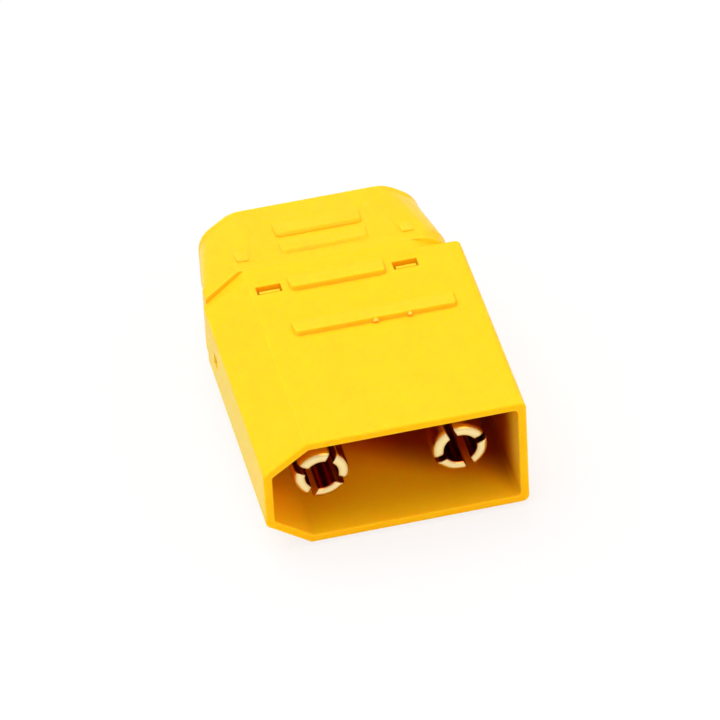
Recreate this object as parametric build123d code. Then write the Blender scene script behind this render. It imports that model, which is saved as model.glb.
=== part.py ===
from build123d import *
import math
import os

# Two-pole high-current plug: a keyed shroud with two split pins, closed behind by a clip-on cap.
# Lengths are in millimetres. X runs across the poles, +Y from the mouth to the wires, +Z up.
# Depths along Y are counted from the lip of the mouth.

# Keyed shroud of the housing
shell_width = 21.2
shell_height = 10.2
shroud_length = 20.9
shroud_wall = 0.7
key_run = 3.5
key_drop = 2.5
key_edge_radius = 0.3
corner_radius = 0.6
inner_corner_radius = 0.4
lip_radius = 0.18
lip_inner_chamfer = 0.1

# Inside of the housing
cavity_floor_to_rear = 7.1
partition_thickness = 3.2
pocket_wall = 0.9
rib_thickness = 1.2
rib_end_gap = 0.3

# Collar at the housing's rear, cut back from the shroud's section
collar_length = 1.15
collar_key_inset = 0.1
collar_key_run = 3.4
collar_key_drop = 2.85
collar_key_radius = 0.35
collar_plain_inset = 0.6
collar_shoulder_run = 3.1
collar_shoulder_drop = 1.5
shoulder_radius = 1.8

# Contacts, turned in one piece each
pin_axis_to_side = 5.0
pin_diameter = 4.5
pin_tip_inset = 1.82
pin_tip_rounding = 0.36
petal_bore_diameter = 2.65
petal_bore_depth = 8.0
petal_bore_chamfer = 0.1
slot_width = 0.66
slot_depth = 5.6
left_slot_angle = -28.0
right_slot_angle = 22.0
neck_diameter = 4.9
neck_length = 0.8
shank_diameter = 5.4
cup_diameter = 5.9
cup_length = 7.4
cup_bore_diameter = 4.9
cup_bore_depth = 6.0
cup_notch_length = 3.0
cup_edge_chamfer = 0.15

# Rear cap, with the insets of its sections from the shroud's sides
seam_gap = 0.01
cap_length = 8.15
band_length = 1.25
band_plain_inset = 0.75
band_shoulder_run = 1.9
band_shoulder_drop = 1.15
band_key_inset = 0.3
band_key_run = 2.75
band_key_drop = 2.2
band_key_radius = 0.45
cap_front_drop = 0.2
cap_key_inset = 0.43
cap_key_run = 3.1
cap_key_drop = 1.9
cap_rear_drop = 0.2
cap_rear_plain_inset = 1.4
cap_rear_plain_run = 2.75
cap_rear_plain_drop = 1.9
cap_rear_plain_radius = 2.9
cap_rear_key_inset = 1.33
cap_rear_key_run = 2.8
cap_rear_key_drop = 1.95
cap_rear_key_radius = 2.5
cap_rear_length = 1.1
cap_rear_edge_radius = 0.6
wire_chamber_diameter = 6.2
wire_hole_diameter = 5.6
wire_hole_chamfer = 0.15
cap_rear_wall = 1.3

# Pad on each flat side of the cap, between the shoulders
pad_side_inset = 4.5
pad_taper = 0.8
pad_length = 5.4
pad_tab_gap = 0.2
pad_tab_width = 1.0
pad_tab_length = 2.0
pad_tab_height = 0.1

# Spigot and snap tongues of the cap, inside the housing's pocket
spigot_length = 1.5
spigot_wall = 0.8
tongue_reach = 3.7
tongue_width = 3.2
tongue_thickness = 0.8
fit_gap = 0.1
seat_gap = 0.03

# Snap windows through the housing's flat walls, and the barbs in them
window_to_rear = 1.15
window_width = 2.05
window_length = 1.0
barb_side_gap = 0.2
barb_front_gap = 0.03
barb_rear_gap = 0.6
barb_below_face = 0.04
barb_ramp = 0.08

# Grip ridges: drafted walls in front and at the ends, and a crest that falls away to the rear
ridge_height = 0.35
ridge_length = 1.9
ridge_end_radius = 0.45
ridge_draft = 0.18
ridge_root = 0.3
front_ridge_to_rear = 8.0
front_ridge_end_margin = 2.2
rear_ridge_to_rear = 2.45
rear_ridge_window_margin = 0.625
cap_ridge_height = 0.2
cap_ridge_draft = 0.26
cap_ridge_length = 1.7
cap_ridge_pitch = 2.3
cap_first_ridge = 1.13
cap_ridge_end_margin = 1.7

# Gate vestiges on the front ridge
nub_offsets = [1.65, 4.45]
nub_radii = [0.24, 0.18]
nub_height = 0.14
nub_root = 0.5
nub_below_crest = 0.03
nub_chamfer = 0.06

# Blind windows in the narrow sides
side_window_to_rear = 2.6
side_window_length = 1.2
side_window_height = 1.2
side_window_sink = 0.45

# Places that follow from the sizes above
half_width = shell_width / 2
half_height = shell_height / 2
mating_depth = shroud_length - cavity_floor_to_rear
pocket_depth = mating_depth + partition_thickness
housing_length = shroud_length + collar_length
band_depth = housing_length + seam_gap
overall_length = band_depth + cap_length
lip_y = -overall_length / 2
axis_z = ridge_height + half_height
pin_x = half_width - pin_axis_to_side
window_depth = shroud_length - window_to_rear - window_length
side_window_depth = shroud_length - side_window_to_rear - side_window_length
front_ridge_depth = shroud_length - front_ridge_to_rear
front_ridge_width = shell_width - key_run - 2 * front_ridge_end_margin
rear_ridge_depth = shroud_length - rear_ridge_to_rear
rear_ridge_width = 2 * pin_x - window_width - 2 * rear_ridge_window_margin
cap_ridge_width = 2 * (half_width - pad_side_inset - pad_taper - cap_ridge_end_margin)
key_flat_middle = key_run / 2


def across(depth):
    """Plane across the plug at a depth behind the lip. It faces the mouth, with X and Z as its axes."""
    return Plane(origin=(0, lip_y + depth, axis_z), x_dir=(1, 0, 0), z_dir=(0, -1, 0))


def prism(outline, depth, length):
    """Solid with the given section, from a depth behind the lip towards the wires."""
    return extrude(across(depth) * outline, amount=-length)


def block(x, depth, z, width, length, height):
    """Box centred at x across the poles and at z above the pins' axis, starting at a depth."""
    centre = (x, lip_y + depth + length / 2, axis_z + z)
    return Pos(*centre) * Box(width, length, height)


def both_faces(solid):
    """The solid with its mirror image in the pins' plane."""
    return solid + mirror(solid, about=Plane.XY.offset(axis_z))


def both_sides(solid):
    """The solid with its mirror image in the plane midway between the pins."""
    return solid + mirror(solid, about=Plane.YZ)


def soften(outline, radius, side):
    """Round the outline's corners on one side of its middle: -1 for the keyed side, +1 for the other."""
    corners = outline.vertices().filter_by(lambda corner: corner.X * side > 0)
    return fillet(corners, radius)


def eight_sided(left, right, top, inset):
    """Section with sloped corners, symmetric about the pins' plane.

    left and right are (half width, run, drop) of the two sides, top is its half height,
    and inset shrinks all of it evenly.
    """
    left_x, left_run, left_drop = left
    right_x, right_run, right_drop = right
    points = [
        (right_x - right_run, top),
        (left_run - left_x, top),
        (-left_x, top - left_drop),
        (-left_x, left_drop - top),
        (left_run - left_x, -top),
        (right_x - right_run, -top),
        (right_x, right_drop - top),
        (right_x, top - right_drop),
    ]
    outline = Polygon(*points, align=None)
    if inset > 0:
        outline = offset(outline, amount=-inset, kind=Kind.INTERSECTION)
    return outline


def keyed_outline(inset, corner, key_edge):
    """Section of the shroud: square at +X, and cut off at both corners of -X so that it fits one way."""
    points = [
        (half_width, half_height),
        (key_run - half_width, half_height),
        (-half_width, half_height - key_drop),
        (-half_width, key_drop - half_height),
        (key_run - half_width, -half_height),
        (half_width, -half_height),
    ]
    outline = Polygon(*points, align=None)
    if inset > 0:
        outline = offset(outline, amount=-inset, kind=Kind.INTERSECTION)
    return soften(soften(outline, corner, 1), key_edge, -1)


def collar_outline(inset, radius):
    """Section of the housing's rear collar: slopes steeper than the key's, and round shoulders at +X."""
    keyed_side = (half_width - collar_key_inset, collar_key_run, collar_key_drop)
    plain_side = (half_width - collar_plain_inset, collar_shoulder_run, collar_shoulder_drop)
    outline = eight_sided(keyed_side, plain_side, half_height, inset)
    return soften(soften(outline, radius, 1), min(radius, collar_key_radius), -1)


def band_outline():
    """Section of the cap's front band."""
    keyed_side = (half_width - band_key_inset, band_key_run, band_key_drop)
    plain_side = (half_width - band_plain_inset, band_shoulder_run, band_shoulder_drop)
    outline = eight_sided(keyed_side, plain_side, half_height, 0)
    return soften(soften(outline, shoulder_radius, 1), band_key_radius, -1)


def cap_front_outline():
    """Section of the cap just behind its band: lower flat sides, and the band's own shoulders at +X."""
    keyed_side = (half_width - cap_key_inset, cap_key_run, cap_key_drop)
    shoulder_run = band_shoulder_run - cap_front_drop * band_shoulder_run / band_shoulder_drop
    plain_side = (half_width - band_plain_inset, shoulder_run, band_shoulder_drop - cap_front_drop)
    outline = eight_sided(keyed_side, plain_side, half_height - cap_front_drop, 0)
    return soften(soften(outline, shoulder_radius, 1), band_key_radius, -1)


def cap_rear_outline():
    """Section of the cap's rear face: narrower, with its corners nearly round."""
    keyed_side = (half_width - cap_rear_key_inset, cap_rear_key_run, cap_rear_key_drop)
    plain_side = (half_width - cap_rear_plain_inset, cap_rear_plain_run, cap_rear_plain_drop)
    outline = eight_sided(keyed_side, plain_side, half_height - cap_rear_drop, 0)
    return soften(soften(outline, cap_rear_plain_radius, 1), cap_rear_key_radius, -1)


def grip_ridge(x, depth, width, length, height, draft):
    """One ridge on the upper face: walls that lean in by the draft, a crest that falls to the rear."""
    side_view = [
        (depth, half_height - ridge_root),
        (depth, half_height + height),
        (depth + draft, half_height + height),
        (depth + length, half_height),
        (depth + length, half_height - ridge_root),
    ]
    points = [(x - width / 2, lip_y + along, axis_z + up) for along, up in side_view]
    wedge = extrude(make_face(Polyline(*points, close=True)), amount=width, dir=(1, 0, 0))
    reach = length + ridge_end_radius
    plan = Rectangle(width, 2 * reach)
    plan = fillet(plan.vertices(), ridge_end_radius)
    plan = Pos(x, lip_y + depth + reach, axis_z + half_height) * plan
    column = extrude(plan, amount=height, taper=math.degrees(math.atan2(draft, height)))
    column += extrude(plan, amount=-ridge_root)
    return wedge & column


def turned(stations, x):
    """Solid of revolution on the pin axis at x, from (depth, radius) stations in order."""
    first_depth = stations[0][0]
    last_depth = stations[-1][0]
    outline = [(x, lip_y + first_depth)]
    outline += [(x + radius, lip_y + depth) for depth, radius in stations]
    outline += [(x, lip_y + last_depth)]
    half = make_face(Polyline(*[(px, py, axis_z) for px, py in outline], close=True))
    axis = Axis((x, lip_y, axis_z), (0, 1, 0))
    return revolve(half, axis=axis)


def contact_stations(gap):
    """Outside of the contact's held part, neck and shank, grown by a gap."""
    neck_end = mating_depth + neck_length - gap
    neck_radius = neck_diameter / 2 + gap
    shank_radius = shank_diameter / 2 + gap
    return [
        (mating_depth, neck_radius),
        (neck_end, neck_radius),
        (neck_end, shank_radius),
        (pocket_depth, shank_radius),
    ]


def petal_slots(x, angle):
    """The two saw cuts that cross in the pin and part it into four petals."""
    start = pin_tip_inset - slot_width
    blade = block(0, start, 0, slot_width, slot_depth + slot_width, 2 * pin_diameter)
    level = Pos(0, 0, axis_z) * Rot(0, -angle, 0) * Pos(0, 0, -axis_z) * blade
    upright = Pos(0, 0, axis_z) * Rot(0, 90 - angle, 0) * Pos(0, 0, -axis_z) * blade
    return Pos(x, 0, 0) * (level + upright)


def contact(x, angle):
    """One pole: split hollow pin in front, neck and shank in the partition, solder cup behind."""
    pin_radius = pin_diameter / 2
    bore_radius = petal_bore_diameter / 2
    cup_radius = cup_diameter / 2
    cup_end = pocket_depth + cup_length
    half_rounding = pin_tip_rounding * (1 - math.sqrt(0.5))
    tip = [
        (pin_tip_inset, pin_radius - pin_tip_rounding),
        (pin_tip_inset + half_rounding, pin_radius - half_rounding),
        (pin_tip_inset + pin_tip_rounding, pin_radius),
    ]
    cup = [
        (pocket_depth, cup_radius),
        (cup_end - cup_edge_chamfer, cup_radius),
        (cup_end, cup_radius - cup_edge_chamfer),
    ]
    body = turned(tip + [(mating_depth, pin_radius)] + contact_stations(0) + cup, x)

    bore_end = pin_tip_inset + petal_bore_depth
    body -= turned(
        [
            (pin_tip_inset, bore_radius + petal_bore_chamfer),
            (pin_tip_inset + petal_bore_chamfer, bore_radius),
            (bore_end, bore_radius),
        ],
        x,
    )
    body -= petal_slots(x, angle)
    cup_bore_radius = cup_bore_diameter / 2
    body -= turned([(cup_end - cup_bore_depth, cup_bore_radius), (cup_end, cup_bore_radius)], x)
    notch = (2 * cup_diameter, 2 * cup_notch_length, cup_diameter)
    body -= block(x, cup_end - cup_notch_length, cup_radius, *notch)
    return body


def snap_window(x):
    """Window through the upper wall of the housing's pocket."""
    height = 3 * pocket_wall
    return block(x, window_depth, half_height, window_width, window_length, height)


def snap_tongue(x):
    """Upper tongue of the cap with its barb, which stands in the window with a gap behind it."""
    outer = half_height - pocket_wall - fit_gap
    front = band_depth - tongue_reach
    length = tongue_reach + band_length / 2
    arm = block(x, front, outer - tongue_thickness / 2, tongue_width, length, tongue_thickness)
    arm = arm & prism(collar_outline(pocket_wall + fit_gap, inner_corner_radius), front, length)
    top = half_height - barb_below_face
    barb_front = window_depth + barb_front_gap
    barb_rear = window_depth + window_length - barb_rear_gap
    side_view = [
        (barb_front, outer),
        (barb_front + barb_ramp, top),
        (barb_rear, top),
        (barb_rear, outer - tongue_thickness / 2),
        (barb_front, outer - tongue_thickness / 2),
    ]
    width = window_width - 2 * barb_side_gap
    points = [(x - width / 2, lip_y + along, axis_z + up) for along, up in side_view]
    return arm + extrude(make_face(Polyline(*points, close=True)), amount=width, dir=(1, 0, 0))


def side_window():
    """Small blind window at mid height of the housing's side at +X."""
    sink = 2 * side_window_sink
    return block(half_width, side_window_depth, 0, sink, side_window_length, side_window_height)


def gate_nub(x, radius):
    """Small round vestige of a moulding gate, on the wall of the front ridge just under its crest."""
    up = half_height + ridge_height - nub_below_crest - radius
    seat = across(front_ridge_depth + nub_root) * Pos(x, up) * Circle(radius)
    stub = extrude(seat, amount=nub_height + nub_root)
    return chamfer(stub.edges().sort_by(Axis.Y)[0], nub_chamfer)


def housing():
    """Moulded housing: keyed shroud, partition with the two seats, rear pocket, windows and grips."""
    body = prism(keyed_outline(0, corner_radius, key_edge_radius), 0, shroud_length)
    body += prism(collar_outline(0, shoulder_radius), shroud_length, collar_length)
    body -= prism(keyed_outline(shroud_wall, inner_corner_radius, key_edge_radius), 0, mating_depth)
    lip = body.faces().sort_by(Axis.Y)[0]
    body = fillet(lip.outer_wire().edges(), lip_radius)
    lip = body.faces().filter_by(Axis.Y).sort_by(Axis.Y)[0]
    body = chamfer(lip.inner_wires()[0].edges(), lip_inner_chamfer)

    pocket = prism(collar_outline(pocket_wall, inner_corner_radius), pocket_depth, housing_length)
    rib_end = band_depth - spigot_length - rib_end_gap
    pocket -= block(0, pocket_depth, 0, rib_thickness, rib_end - pocket_depth, shell_height)
    body -= pocket
    for x in (-pin_x, pin_x):
        body -= turned(contact_stations(seat_gap), x)

    body -= both_faces(both_sides(snap_window(pin_x)))
    body -= both_sides(side_window())
    ridge_shape = (ridge_length, ridge_height, ridge_draft)
    body += both_faces(grip_ridge(key_flat_middle, front_ridge_depth, front_ridge_width, *ridge_shape))
    body += both_faces(grip_ridge(0, rear_ridge_depth, rear_ridge_width, *ridge_shape))
    for x, radius in zip(nub_offsets, nub_radii):
        body += gate_nub(x, radius)
    return body


def cap_pad():
    """Raised pad on the cap's upper side, which narrows and runs out towards the wires."""
    start = band_depth + band_length / 2
    end = band_depth + band_length + pad_length
    front_x = half_width - pad_side_inset
    rear_x = front_x - pad_taper
    plan_points = [
        (-front_x, lip_y + start),
        (front_x, lip_y + start),
        (rear_x, lip_y + end),
        (-rear_x, lip_y + end),
    ]
    plan = Polygon(*plan_points, align=None)
    column = extrude(Pos(0, 0, axis_z + half_height / 2) * plan, amount=half_height)
    side_view = [(start, 0), (start, half_height), (end, half_height - cap_rear_drop), (end, 0)]
    points = [(-shell_width, lip_y + along, axis_z + up) for along, up in side_view]
    slab = extrude(make_face(Polyline(*points, close=True)), amount=2 * shell_width, dir=(1, 0, 0))
    return column & slab


def pad_tab():
    """Low tab beside the pad's front corner at +X, on the upper side: a small front wall and a slope."""
    start = band_depth + band_length - pad_tab_height
    side_view = [
        (start, half_height - cap_front_drop - pad_tab_height),
        (start, half_height + pad_tab_height),
        (start + pad_tab_length, half_height - cap_front_drop - pad_tab_height),
    ]
    x = half_width - pad_side_inset + pad_tab_gap
    points = [(x, lip_y + along, axis_z + up) for along, up in side_view]
    return extrude(make_face(Polyline(*points, close=True)), amount=pad_tab_width, dir=(1, 0, 0))


def cap_spigot():
    """Short skirt that centres the cap in the housing's pocket."""
    outer = collar_outline(pocket_wall + fit_gap, inner_corner_radius)
    inner = collar_outline(pocket_wall + fit_gap + spigot_wall, inner_corner_radius)
    return prism(outer - inner, band_depth - spigot_length, spigot_length + band_length / 2)


def rear_cap():
    """Moulded cap: tapered hood with two wire holes, grips, spigot and four snap tongues."""
    body_depth = band_depth + band_length
    body = prism(band_outline(), band_depth, band_length)
    rear_depth = band_depth + cap_length - cap_rear_length
    front = across(body_depth) * cap_front_outline()
    rear = across(rear_depth) * cap_rear_outline()
    body += loft([front.face(), rear.face()], ruled=True)
    end_block = prism(cap_rear_outline(), rear_depth, cap_rear_length)
    rear_edges = end_block.faces().sort_by(Axis.Y)[-1].outer_wire().edges()
    body += fillet(rear_edges, cap_rear_edge_radius)
    body += both_faces(cap_pad() + both_sides(pad_tab()))
    first_ridge = band_depth + cap_first_ridge
    for depth in (first_ridge, first_ridge + cap_ridge_pitch):
        ridge = grip_ridge(0, depth, cap_ridge_width, cap_ridge_length, cap_ridge_height, cap_ridge_draft)
        body += both_faces(ridge)
    body += cap_spigot()
    body += both_faces(snap_tongue(-pin_x) + snap_tongue(pin_x))

    end = band_depth + cap_length
    chamber = wire_chamber_diameter / 2
    hole = wire_hole_diameter / 2
    for x in (-pin_x, pin_x):
        body -= turned(
            [
                (band_depth - spigot_length, chamber),
                (end - cap_rear_wall, chamber),
                (end - cap_rear_wall, hole),
                (end - wire_hole_chamfer, hole),
                (end, hole + wire_hole_chamfer),
            ],
            x,
        )
    return body


def main():
    """Write every piece of the plug to its own file."""
    os.makedirs("parts", exist_ok=True)
    pieces = {
        "housing": housing(),
        "rear_cap": rear_cap(),
        "contact_left": contact(-pin_x, left_slot_angle),
        "contact_right": contact(pin_x, right_slot_angle),
    }
    for name, solid in pieces.items():
        export_step(solid, f"parts/{name}.step")


main()
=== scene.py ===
import math

import bpy
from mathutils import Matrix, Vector

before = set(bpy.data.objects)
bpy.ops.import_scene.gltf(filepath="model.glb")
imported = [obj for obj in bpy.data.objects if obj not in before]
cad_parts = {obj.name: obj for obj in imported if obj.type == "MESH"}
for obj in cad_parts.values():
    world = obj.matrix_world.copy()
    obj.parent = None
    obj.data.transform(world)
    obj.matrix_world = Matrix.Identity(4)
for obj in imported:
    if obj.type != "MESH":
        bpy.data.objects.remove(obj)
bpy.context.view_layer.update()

MM = 0.001
FALLING = (1.0, 0.0)

# Camera, fitted to the corners and the outline of the photographed plug
CAMERA_PLACE = Vector((-79.31, -397.55, 347.75)) * MM
CAMERA_EULER = (49.748, 2.534, -13.513)
CAMERA_LENS = 332.13
CAMERA_CLIP = (0.01, 10.0)
SENSOR_WIDTH = 36.0

# Sky, which grows from SKY_LOW at the horizon to SKY_HIGH at the height SKY_TOP
SKY_LOW = 0.5
SKY_HIGH = 0.85
SKY_TOP = 0.9

# Strength at which the sky and the table are seen
BACKDROP_STRENGTH = 1.0

# Lamps, with angles in degrees
KEY_STRENGTH = 2.0
KEY_COLOUR = (1.0, 1.0, 1.0)
KEY_ANGLE = 60.0
KEY_EULER = (-12.0, -16.0, 0.0)
FILL_STRENGTH = 1.2
FILL_COLOUR = (1.0, 0.29, 0.035)
FILL_ANGLE = 25.0
FILL_EULER = (62.0, 0.0, 22.0)

# Table, where FLOOR_GLOW_SHARE of what is seen is plain white and the rest keeps the shadow
FLOOR_ALBEDO = (0.86, 0.86, 0.86, 1.0)
FLOOR_GLOW_SHARE = 0.8
FLOOR_SIZE = 4.0

# Places in the part's own frame
PIN_X = 5.6 * MM
PIN_Z = 5.45 * MM
PIN_RADIUS = 2.25 * MM
BORE_RADIUS = 1.34 * MM
FLAT_FACE = 5.1 * MM
NUB_BACK = -2.2 * MM
SEAM_PLACE = 6.945 * MM
SEAM_REACH = 0.12 * MM
BARB_FRONT = 3.645 * MM
BARB_HALF_WIDTH = 1.0 * MM
CAVITY_FLOOR = -1.0 * MM
CAVITY_HALF_HEIGHT = 4.75 * MM

# Tones of the moulded nylon, and of the painted shade, sheen, highlights and light on it
HOUSING_YELLOW = (0.97, 0.61, 0.004, 1.0)
CAP_YELLOW = (0.97, 0.60, 0.008, 1.0)
# Painted shade in the hollows of the mouth, and a painted shadow at its back
CAVITY_SHADE_YELLOW = (1.0, 0.29, 0.0015, 1.0)
CAVITY_SHADOW_YELLOW = (0.50, 0.070, 0.001, 1.0)
# Painted sheen, painted highlight on the nubs, painted light on the seam's step and painted shade
# in the creases
PAINTED_SHEEN_YELLOW = (0.97, 0.715, 0.20, 1.0)
NUB_HIGHLIGHT_YELLOW = (1.0, 0.76, 0.16, 1.0)
STEP_LIGHT_YELLOW = (1.0, 0.88, 0.03, 1.0)
CREASE_SHADE_YELLOW = (0.78, 0.37, 0.001, 1.0)
CLOUD_BRIGHTNESS = 0.98
SPECK_PALENESS = 0.25
# Paleness of the edges, partly light wear and partly a painted glow of thin translucent edges
EDGE_PALENESS = 0.10

# Patterns in the nylon: size of their features, detail and roughness
NYLON_CLOUDS = (3.5 * MM, 2.0, 0.5)
NYLON_SPECKS = (0.25 * MM, 4.0, 0.6)
NYLON_PATCHES = (0.6 * MM, 5.0, 0.5)
NYLON_WAVES = (2.2 * MM, 1.0, 0.5)
NYLON_GRAIN = (0.055 * MM, 2.0, 0.5)

# Strongest share of a tone in the mix
SPECK_SHARE = 0.10
EDGE_SHARE = 0.15
# Shares of the painted sheen and of the painted highlight on the nubs
SHEEN_SHARE = 0.6
NUB_HIGHLIGHT_SHARE = 0.9

# Spans of noise, of the mask of edges, of the turn away from the eye and of openness
CLOUD_SPAN = (0.35, 0.65)
SPECK_SPAN = (0.45, 0.75)
PATCH_SPAN = (0.3, 0.7)
EDGE_SPAN = (0.80, 0.99)
# Spans of the painted sheen, of the painted shade in creases and hollows, and of the shelter for
# the painted shadow
SHEEN_SPAN = (0.6, 1.0)
OPEN_SPAN = (0.75, 0.95)
CREASE_SPAN = (0.5, 0.95)
DEEP_SPAN = (0.05, 0.7)
SHELTER_SPAN = (0.85, 0.97)

# Spans of place, over which one tone passes into the next
RIDGE_SPAN = (FLAT_FACE + 0.01 * MM, FLAT_FACE + 0.05 * MM)
OUTERMOST_SPAN = (FLAT_FACE - 0.03 * MM, FLAT_FACE - 0.02 * MM)
NUB_BACK_SPAN = (NUB_BACK - 0.04 * MM, NUB_BACK)
NUB_HEIGHT_SPAN = (FLAT_FACE + 0.1 * MM, FLAT_FACE + 0.2 * MM)
STEP_SPAN = (0.03 * MM, 0.06 * MM)
SHOULDER_SPAN = (7.0 * MM, 7.6 * MM)
CAVITY_LENGTH_SPAN = (CAVITY_FLOOR, CAVITY_FLOOR + 0.1 * MM)
CAVITY_HEIGHT_SPAN = (CAVITY_HALF_HEIGHT, CAVITY_HALF_HEIGHT + 0.1 * MM)
# Slant and span of the painted shadow inside the mouth
SHADE_SLANT = 0.5
SHADE_SPAN = (-9.6 * MM, -4.4 * MM)
GLOW_SPAN = (0.3 * MM, 1.0 * MM)
JOINT_SPAN = (0.5 * SEAM_REACH, SEAM_REACH)

# Reach of the measures of openness
HOLLOW_REACH = 7.0 * MM
CAVITY_REACH = 14.0 * MM
CREASE_REACH = 0.5 * MM

# Nylon's glow, gloss and relief
GLOW_RADIUS = (1.0, 0.35, 0.03)
GLOW_SCALE = 0.8 * MM
GLOW_WEIGHT = 1.0
NYLON_IOR = 1.53
NYLON_SHINE = 0.1
NYLON_ROUGHNESS = (0.38, 0.52)
EDGE_RADIUS = 0.05 * MM
WAVE_HEIGHT = 0.03 * MM
WAVE_STRENGTH = 0.35
GRAIN_HEIGHT = 0.004 * MM

# The two mouldings
HOUSING = {
    "yellow": HOUSING_YELLOW,
    "grain": 0.35,
    "crease_shade_share": 1.0,
    "ridge_edge": 0.2 * MM,
}
CAP = {
    "yellow": CAP_YELLOW,
    "grain": 0.45,
    "crease_shade_share": 0.2,
    "ridge_edge": 0.35 * MM,
}

# Gold plating, with painted reflections on its petals and painted shade in its bore
GOLD = (0.95, 0.77, 0.36, 1.0)
# Painted amber reflection on the petals' edges and where they turn away
AMBER_REFLECTION_GOLD = (0.72, 0.45, 0.13, 1.0)
# Painted shade deep in the bore's hollow, and painted dark inside the bore
BORE_SHADE_GOLD = (0.30, 0.07, 0.02, 1.0)
BORE_SHADE_DARK = (0.45, 0.07, 0.03, 1.0)
GOLD_CLOUD_BRIGHTNESS = 0.92
# Paleness of the painted reflection on rounded edges
GOLD_EDGE_REFLECTION_PALENESS = 0.35
GOLD_ROUGHNESS = (0.12, 0.24)
BORE_REACH = 1.4 * MM
PETAL_EDGE_RADIUS = 0.26 * MM
RING_STRETCH = (0.15, 12.0, 0.15)
GOLD_RINGS = (0.9 * MM, 4.0, 0.65)
GOLD_CLOUDS = (1.6 * MM, 3.0, 0.5)
GOLD_PITS = (0.09 * MM, 3.0, 0.5)
RING_HEIGHT = 0.006 * MM
RING_STRENGTH = 0.5
PIT_HEIGHT = 0.002 * MM
PIT_STRENGTH = 0.3
GOLD_CLOUD_SPAN = (0.3, 0.7)
# Spans and shares of the painted reflections on the petals and of the painted shade in the bore
GOLD_EDGE_SPAN = (0.75, 0.98)
GOLD_EDGE_REFLECTION_SHARE = 0.3
GOLD_RIM_SPAN = (0.36, 0.75)
GOLD_TURN_REFLECTION_SHARE = 0.85
GOLD_DEEP_SPAN = (0.25, 0.75)
OUTER_EDGE_SPAN = (PIN_RADIUS - 0.40 * MM, PIN_RADIUS - 0.08 * MM)
OUTER_EDGE_SHARE = 0.75
INNER_EDGE_SPAN = (BORE_RADIUS, BORE_RADIUS + 0.28 * MM)
INNER_EDGE_SHARE = 0.7
BORE_SPAN = (BORE_RADIUS, BORE_RADIUS + 0.06 * MM)

# Rays per point for soft edges and openness, and the balance of the turn away from the eye
MASK_SAMPLES = 6
RIM_BLEND = 0.5


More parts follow.
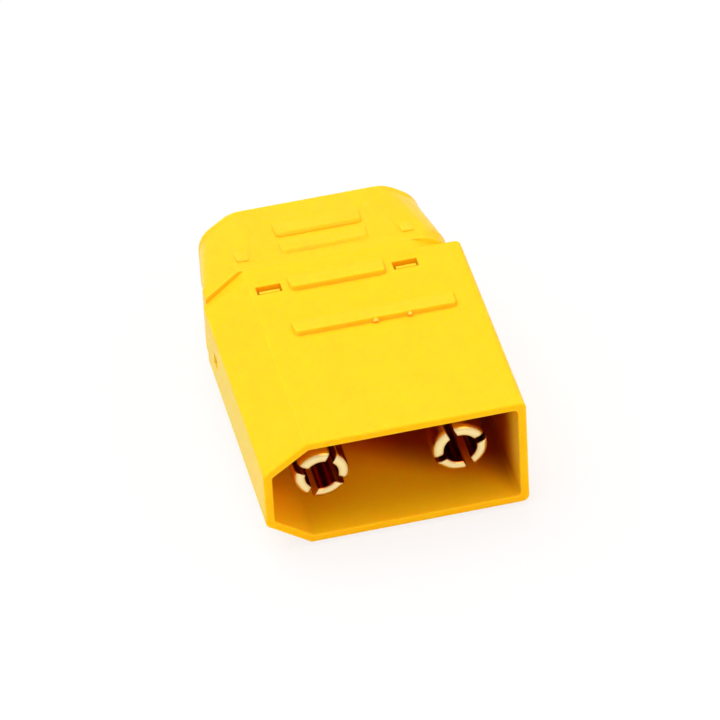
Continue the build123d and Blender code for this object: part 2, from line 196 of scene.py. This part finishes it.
class Graph:
    """The node tree of a material or a world, with short calls for adding and joining nodes."""

    def __init__(self, owner):
        owner.use_nodes = True
        self.owner = owner
        self.tree = owner.node_tree
        self.tree.nodes.clear()

    def add(self, kind, **settings):
        node = self.tree.nodes.new(kind)
        for key, value in settings.items():
            setattr(node, key, value)
        return node

    def feed(self, value, socket):
        """Join an output to a socket, or set the socket to a number or a colour."""
        if isinstance(value, bpy.types.NodeSocket):
            self.tree.links.new(value, socket)
        else:
            socket.default_value = value

    def place(self, stretch=(1.0, 1.0, 1.0)):
        """Coordinates in the part's own frame, in metres, with a stretch along each axis."""
        coordinates = self.add("ShaderNodeTexCoord")
        mapping = self.add("ShaderNodeMapping")
        self.feed(stretch, mapping.inputs["Scale"])
        self.feed(coordinates.outputs["Object"], mapping.inputs["Vector"])
        return mapping.outputs["Vector"]

    def axes(self):
        """X, Y and Z in the part's own frame, in metres."""
        split = self.add("ShaderNodeSeparateXYZ")
        self.feed(self.place(), split.inputs[0])
        return split.outputs

    def noise(self, place, size, detail, roughness):
        """Noise whose features are about size metres across."""
        node = self.add("ShaderNodeTexNoise")
        self.feed(1.0 / size, node.inputs["Scale"])
        self.feed(detail, node.inputs["Detail"])
        self.feed(roughness, node.inputs["Roughness"])
        self.feed(place, node.inputs["Vector"])
        return node.outputs["Fac"]

    def ramp(self, value, span, results=(0.0, 1.0), course="LINEAR"):
        """Result that runs from the first to the second as the value runs over its span."""
        node = self.add("ShaderNodeMapRange", interpolation_type=course)
        self.feed(value, node.inputs["Value"])
        self.feed(span[0], node.inputs["From Min"])
        self.feed(span[1], node.inputs["From Max"])
        self.feed(results[0], node.inputs["To Min"])
        self.feed(results[1], node.inputs["To Max"])
        return node.outputs["Result"]

    def calculate(self, operation, *values):
        """Result of a sum on one or two values, where each is a socket or a number."""
        node = self.add("ShaderNodeMath", operation=operation)
        for value, socket in zip(values, node.inputs):
            self.feed(value, socket)
        return node.outputs[0]

    def product(self, first, second):
        return self.calculate("MULTIPLY", first, second)

    def distance(self, first, second):
        return self.calculate("ABSOLUTE", self.calculate("SUBTRACT", first, second))

    def blend(self, factor, first, second):
        """Mix of two colours, or of two normals."""
        node = self.add("ShaderNodeMix", data_type="RGBA")
        self.feed(factor, node.inputs[0])
        self.feed(first, node.inputs[6])
        self.feed(second, node.inputs[7])
        return node.outputs[2]

    def bump(self, height, distance, strength, normal):
        node = self.add("ShaderNodeBump")
        self.feed(distance, node.inputs["Distance"])
        self.feed(strength, node.inputs["Strength"])
        self.feed(height, node.inputs["Height"])
        self.feed(normal, node.inputs["Normal"])
        return node.outputs["Normal"]

    def soft_edge(self, radius):
        """Normal rounded over edges, and a mask that is 1 on flat ground and lower on edges."""
        bevel = self.add("ShaderNodeBevel", samples=MASK_SAMPLES)
        self.feed(radius, bevel.inputs["Radius"])
        geometry = self.add("ShaderNodeNewGeometry")
        cosine = self.add("ShaderNodeVectorMath", operation="DOT_PRODUCT")
        self.feed(bevel.outputs["Normal"], cosine.inputs[0])
        self.feed(geometry.outputs["Normal"], cosine.inputs[1])
        return bevel.outputs["Normal"], cosine.outputs["Value"]

    def rim(self, normal=None):
        """0 where the surface faces the eye, rising to 1 where it turns away."""
        node = self.add("ShaderNodeLayerWeight")
        self.feed(RIM_BLEND, node.inputs["Blend"])
        if normal is not None:
            self.feed(normal, node.inputs["Normal"])
        return node.outputs["Facing"]

    def openness(self, reach):
        """1 on open ground, falling to 0 deep in a hollow."""
        node = self.add("ShaderNodeAmbientOcclusion", samples=MASK_SAMPLES, only_local=True)
        self.feed(reach, node.inputs["Distance"])
        return node.outputs["AO"]

    def seen_share(self):
        """1 for a camera ray, or one that comes off metal or through glass, and 0 for the rest."""
        path = self.add("ShaderNodeLightPath")
        share = path.outputs["Is Camera Ray"]
        for kind in ("Is Glossy Ray", "Is Transmission Ray"):
            share = self.calculate("MAXIMUM", share, path.outputs[kind])
        return share

    def finish(self, shader, output="ShaderNodeOutputMaterial"):
        self.feed(shader.outputs[0], self.add(output).inputs["Surface"])
        return self.owner


class Spot:
    """Where a point of the nylon lies, measured in the part's own frame."""

    def __init__(self, g):
        self.across, self.along, up = g.axes()
        self.from_middle = g.distance(up, PIN_Z)
        self.on_ridge = g.ramp(self.from_middle, RIDGE_SPAN)
        self.from_seam = g.distance(self.along, SEAM_PLACE)
        beside_pin = g.distance(g.calculate("ABSOLUTE", self.across), PIN_X)
        beside_barb = g.calculate("SUBTRACT", beside_pin, BARB_HALF_WIDTH)
        from_barb = g.calculate("MAXIMUM", g.distance(self.along, BARB_FRONT), beside_barb)
        self.from_joint = g.calculate("MINIMUM", self.from_seam, from_barb)


def lighter(colour, amount):
    """The colour moved towards white by a share of the way."""
    return tuple(c + (1.0 - c) * amount for c in colour[:3]) + (1.0,)


def darker(colour, factor):
    return tuple(c * factor for c in colour[:3]) + (1.0,)


def pigment(g, place, yellow, flatness):
    """Cloudy yellow with pale specks, a little paler on its edges, partly as light wear and partly
    as a painted glow of the thin translucent edges.
    """
    clouds = g.ramp(g.noise(place, *NYLON_CLOUDS), CLOUD_SPAN)
    base = g.blend(clouds, darker(yellow, CLOUD_BRIGHTNESS), yellow)
    specks = g.ramp(g.noise(place, *NYLON_SPECKS), SPECK_SPAN, (0.0, SPECK_SHARE))
    base = g.blend(specks, base, lighter(yellow, SPECK_PALENESS))
    # Paler edges: partly light wear, partly a painted glow of thin translucent edges
    edges = g.ramp(flatness, EDGE_SPAN, (EDGE_SHARE, 0.0))
    return g.blend(edges, base, lighter(yellow, EDGE_PALENESS))


def outer_painted_light(g, base, spot, open_share, crease_shade_share):
    """Painted sheen, paler where the surface turns away; painted shade, deeper in creases; a bright
    painted highlight on nubs; and painted light on the seam's step.
    """
    # Painted sheen: paler where the surface turns away from the eye, only on open ground
    turned = g.ramp(g.rim(), SHEEN_SPAN, (0.0, SHEEN_SHARE))
    base = g.blend(g.product(turned, g.ramp(open_share, OPEN_SPAN)), base, PAINTED_SHEEN_YELLOW)

    # Painted shade in the narrow creases at the feet of the ridges
    outermost = g.ramp(spot.from_middle, OUTERMOST_SPAN)
    crease_shade = g.ramp(g.openness(CREASE_REACH), CREASE_SPAN, (crease_shade_share, 0.0))
    base = g.blend(g.product(outermost, crease_shade), base, CREASE_SHADE_YELLOW)

    # Painted highlight on the crests of the nubs
    nub_highlight = g.product(spot.on_ridge, g.ramp(spot.along, NUB_BACK_SPAN, FALLING))
    nub_highlight = g.product(nub_highlight, g.ramp(spot.from_middle, NUB_HEIGHT_SPAN, (0.0, NUB_HIGHLIGHT_SHARE)))
    base = g.blend(nub_highlight, base, NUB_HIGHLIGHT_YELLOW)

    # Painted light on the seam's step, out on the shoulders
    step_light = g.ramp(spot.from_seam, STEP_SPAN, FALLING)
    return g.blend(g.product(step_light, g.ramp(spot.across, SHOULDER_SPAN)), base, STEP_LIGHT_YELLOW)


def cavity_painted_shade(g, base, spot, open_share):
    """Painted shade: orange in the hollows of the mouth, and a painted shadow that turns brown
    towards its floor and its unkeyed side.
    """
    # Painted shade in the hollows inside the mouth
    in_length = g.ramp(spot.along, CAVITY_LENGTH_SPAN, FALLING)
    in_height = g.ramp(spot.from_middle, CAVITY_HEIGHT_SPAN, FALLING)
    inside = g.product(in_length, in_height)
    hollow_shade = g.product(inside, g.ramp(open_share, DEEP_SPAN, FALLING))
    base = g.blend(hollow_shade, base, CAVITY_SHADE_YELLOW)

    # Painted shadow, slanted across the mouth, darkest at its back on the unkeyed side and where it
    # is sheltered
    slanted = g.calculate("ADD", spot.along, g.product(spot.across, SHADE_SLANT))
    shade = g.product(inside, g.ramp(slanted, SHADE_SPAN, course="SMOOTHSTEP"))
    sheltered = g.ramp(g.openness(CAVITY_REACH), SHELTER_SPAN, FALLING)
    return g.blend(g.product(shade, sheltered), base, CAVITY_SHADOW_YELLOW)


def nylon_relief(g, place, spot, edge_normal, grain):
    """Edges softened away from the joints, shallow waves and fine mould grain."""
    plain_normal = g.add("ShaderNodeNewGeometry").outputs["Normal"]
    normal = g.blend(g.ramp(spot.from_joint, JOINT_SPAN), plain_normal, edge_normal)
    normal = g.bump(g.noise(place, *NYLON_WAVES), WAVE_HEIGHT, WAVE_STRENGTH, normal)
    return g.bump(g.noise(place, *NYLON_GRAIN), GRAIN_HEIGHT, grain, normal)


def nylon(name, yellow, grain, crease_shade_share, ridge_edge):
    """Satin moulded nylon that glows a little from inside, with tones of painted shade, sheen,
    highlights and light that follow its shape.
    """
    g = Graph(bpy.data.materials.new(name))
    place = g.place()
    spot = Spot(g)
    edge_radius = g.ramp(spot.on_ridge, (0.0, 1.0), (EDGE_RADIUS, ridge_edge))
    edge_normal, flatness = g.soft_edge(edge_radius)
    open_share = g.openness(HOLLOW_REACH)
    base = pigment(g, place, yellow, flatness)
    base = outer_painted_light(g, base, spot, open_share, crease_shade_share)
    base = cavity_painted_shade(g, base, spot, open_share)

    shader = g.add("ShaderNodeBsdfPrincipled")
    patches = g.ramp(g.noise(place, *NYLON_PATCHES), PATCH_SPAN, NYLON_ROUGHNESS)
    glow = g.ramp(spot.from_joint, GLOW_SPAN, (0.0, GLOW_WEIGHT))
    g.feed(base, shader.inputs["Base Color"])
    g.feed(patches, shader.inputs["Roughness"])
    g.feed(glow, shader.inputs["Subsurface Weight"])
    g.feed(GLOW_RADIUS, shader.inputs["Subsurface Radius"])
    g.feed(GLOW_SCALE, shader.inputs["Subsurface Scale"])
    g.feed(NYLON_IOR, shader.inputs["IOR"])
    g.feed(NYLON_SHINE, shader.inputs["Specular IOR Level"])
    g.feed(nylon_relief(g, place, spot, edge_normal, grain), shader.inputs["Normal"])
    return g.finish(shader)


def from_pin_axis(g):
    """Distance from the axis of the nearer pin."""
    axes = g.axes()
    offset = g.add("ShaderNodeCombineXYZ")
    beside = g.calculate("SUBTRACT", g.calculate("ABSOLUTE", axes["X"]), PIN_X)
    g.feed(beside, offset.inputs["X"])
    g.feed(g.calculate("SUBTRACT", axes["Z"], PIN_Z), offset.inputs["Z"])
    length = g.add("ShaderNodeVectorMath", operation="LENGTH")
    g.feed(offset.outputs[0], length.inputs[0])
    return length.outputs["Value"]


def gold_tones(g, clouds, edge_normal, flatness):
    """Pale gold painted as a reflection on the petals' rims, amber painted as a reflection beside
    them, and a bore darkened by painted shade.
    """
    base = g.blend(g.ramp(clouds, GOLD_CLOUD_SPAN), darker(GOLD, GOLD_CLOUD_BRIGHTNESS), GOLD)
    # Painted reflection: paler gold on rounded edges
    edges = g.ramp(flatness, GOLD_EDGE_SPAN, (GOLD_EDGE_REFLECTION_SHARE, 0.0))
    base = g.blend(edges, base, lighter(GOLD, GOLD_EDGE_REFLECTION_PALENESS))
    # Painted reflection: amber where the gold turns away from the eye
    turned = g.ramp(g.rim(edge_normal), GOLD_RIM_SPAN, (0.0, GOLD_TURN_REFLECTION_SHARE))
    base = g.blend(turned, base, AMBER_REFLECTION_GOLD)

    # Painted reflection: amber on the rounded outer and inner edges of the petals' rims
    radius = from_pin_axis(g)
    outer_edge = g.ramp(radius, OUTER_EDGE_SPAN, (0.0, OUTER_EDGE_SHARE))
    inner_edge = g.ramp(radius, INNER_EDGE_SPAN, (INNER_EDGE_SHARE, 0.0))
    base = g.blend(g.calculate("MAXIMUM", outer_edge, inner_edge), base, AMBER_REFLECTION_GOLD)
    # Painted shade: deep gold in the bore's hollow, and dark inside the bore
    base = g.blend(g.ramp(g.openness(BORE_REACH), GOLD_DEEP_SPAN, FALLING), base, BORE_SHADE_GOLD)
    return g.blend(g.ramp(radius, BORE_SPAN, FALLING), base, BORE_SHADE_DARK)


def gold_plate(name):
    """Gold plating on a turned contact, with faint rings from the tool and tiny pits."""
    g = Graph(bpy.data.materials.new(name))
    place = g.place()
    rings = g.noise(g.place(RING_STRETCH), *GOLD_RINGS)
    clouds = g.noise(place, *GOLD_CLOUDS)
    pits = g.noise(place, *GOLD_PITS)
    edge_normal, flatness = g.soft_edge(PETAL_EDGE_RADIUS)
    normal = g.bump(rings, RING_HEIGHT, RING_STRENGTH, edge_normal)
    normal = g.bump(pits, PIT_HEIGHT, PIT_STRENGTH, normal)

    shader = g.add("ShaderNodeBsdfPrincipled")
    g.feed(1.0, shader.inputs["Metallic"])
    g.feed(gold_tones(g, clouds, edge_normal, flatness), shader.inputs["Base Color"])
    g.feed(g.ramp(clouds, GOLD_CLOUD_SPAN, GOLD_ROUGHNESS), shader.inputs["Roughness"])
    g.feed(normal, shader.inputs["Normal"])
    return g.finish(shader)


def dress(node, material):
    """Give a CAD node its material."""
    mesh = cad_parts[node].data
    mesh.materials.clear()
    mesh.materials.append(material)


def table_white():
    """White table: nearly all glow where it is seen, and plain diffuse white in what it lights."""
    g = Graph(bpy.data.materials.new("table_white"))
    diffuse = g.add("ShaderNodeBsdfDiffuse")
    g.feed(FLOOR_ALBEDO, diffuse.inputs["Color"])
    glow = g.add("ShaderNodeEmission")
    g.feed(BACKDROP_STRENGTH, glow.inputs["Strength"])
    mixed = g.add("ShaderNodeMixShader")
    g.feed(g.product(g.seen_share(), FLOOR_GLOW_SHARE), mixed.inputs[0])
    g.feed(diffuse.outputs[0], mixed.inputs[1])
    g.feed(glow.outputs[0], mixed.inputs[2])
    return g.finish(mixed)


def make_table():
    half = FLOOR_SIZE / 2
    corners = [(-half, -half, 0.0), (half, -half, 0.0), (half, half, 0.0), (-half, half, 0.0)]
    mesh = bpy.data.meshes.new("table")
    mesh.from_pydata(corners, [], [(0, 1, 2, 3)])
    mesh.materials.append(table_white())
    table = bpy.data.objects.new("table", mesh)
    bpy.context.scene.collection.objects.link(table)


def make_sky():
    """White room: brighter overhead than at the horizon, and plain white where it is seen."""
    world = bpy.data.worlds.new("white_room")
    g = Graph(world)
    direction = g.add("ShaderNodeTexCoord")
    split = g.add("ShaderNodeSeparateXYZ")
    g.feed(direction.outputs["Generated"], split.inputs[0])
    lighting = g.ramp(split.outputs["Z"], (0.0, SKY_TOP), (SKY_LOW, SKY_HIGH))
    strength = g.add("ShaderNodeMix")
    g.feed(g.seen_share(), strength.inputs[0])
    g.feed(lighting, strength.inputs[2])
    g.feed(BACKDROP_STRENGTH, strength.inputs[3])
    background = g.add("ShaderNodeBackground")
    g.feed(strength.outputs[0], background.inputs["Strength"])
    g.finish(background, "ShaderNodeOutputWorld")
    bpy.context.scene.world = world


def make_sun(name, strength, colour, angle, euler):
    """Wide soft light from one direction."""
    data = bpy.data.lights.new(name, "SUN")
    data.energy = strength
    data.color = colour
    data.angle = math.radians(angle)
    lamp = bpy.data.objects.new(name, data)
    lamp.rotation_euler = [math.radians(a) for a in euler]
    bpy.context.scene.collection.objects.link(lamp)


def make_camera():
    data = bpy.data.cameras.new("camera")
    data.lens = CAMERA_LENS
    data.sensor_width = SENSOR_WIDTH
    data.clip_start, data.clip_end = CAMERA_CLIP
    camera = bpy.data.objects.new("camera", data)
    camera.location = CAMERA_PLACE
    camera.rotation_euler = [math.radians(a) for a in CAMERA_EULER]
    bpy.context.scene.collection.objects.link(camera)
    bpy.context.scene.camera = camera


def main():
    dress("housing", nylon("housing_nylon_satin", **HOUSING))
    dress("rear_cap", nylon("cap_nylon_satin", **CAP))
    gold = gold_plate("gold_plate_turned")
    dress("contact_left", gold)
    dress("contact_right", gold)
    make_table()
    make_sky()
    make_sun("key", KEY_STRENGTH, KEY_COLOUR, KEY_ANGLE, KEY_EULER)
    make_sun("warm_fill", FILL_STRENGTH, FILL_COLOUR, FILL_ANGLE, FILL_EULER)
    make_camera()
    bpy.context.scene.view_settings.view_transform = "Standard"


main()
